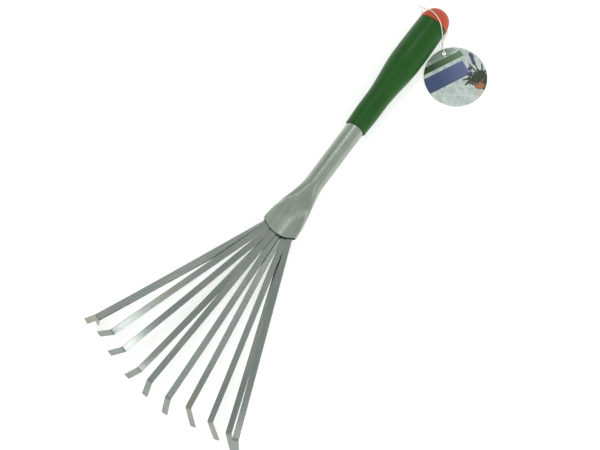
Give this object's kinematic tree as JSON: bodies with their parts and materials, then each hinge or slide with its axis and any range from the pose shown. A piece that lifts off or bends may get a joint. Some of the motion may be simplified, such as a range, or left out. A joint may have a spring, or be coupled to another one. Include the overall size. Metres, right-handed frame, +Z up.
{
  "type": "hand rake",
  "caption": "Small one-hand garden rake: hooked spring-steel prongs fan out of a flared tube with a moulded grip, a holed end cap and a round hang tag on a string.",
  "frame": {"origin": "on the surface the rake lies on, under the middle of the box round the rake without its string and tag", "axes": "+X along the tool from the prongs to the end cap, +Z up, the prongs' hooks point down, and the first prong is at +Y"},
  "size_m": [0.3961, 0.1608, 0.0273],
  "materials": {
    "green_plastic": "satin moulded, dark green",
    "red_plastic": "satin moulded, orange red",
    "socket_steel": "satin grey metallic coat",
    "spring_steel": "zinc plated strip",
    "printed_card": "printed and laminated card",
    "white_string": "twisted white thread"
  },
  "bodies": {
    "rake": {"end_cap": "red_plastic", "fan_socket": "socket_steel", "grip": "green_plastic", "prong_01": "spring_steel", "prong_02": "spring_steel", "prong_03": "spring_steel", "prong_04": "spring_steel", "prong_05": "spring_steel", "prong_06": "spring_steel", "prong_07": "spring_steel", "prong_08": "spring_steel", "prong_09": "spring_steel", "prong_10": "spring_steel", "prong_11": "spring_steel", "string_knot": "white_string", "tag_string": "white_string"},
    "tag": {"hang_tag": "printed_card"}
  },
  "joints": [
    {"name": "tag_swing", "type": "hinge", "parent": "rake", "child": "tag", "pos_m": [0.1713, -0.0216, 0.00175], "axis": [-0.0155, -0.0253, 0.9996], "range_deg": [-18, 35]}
  ]
}
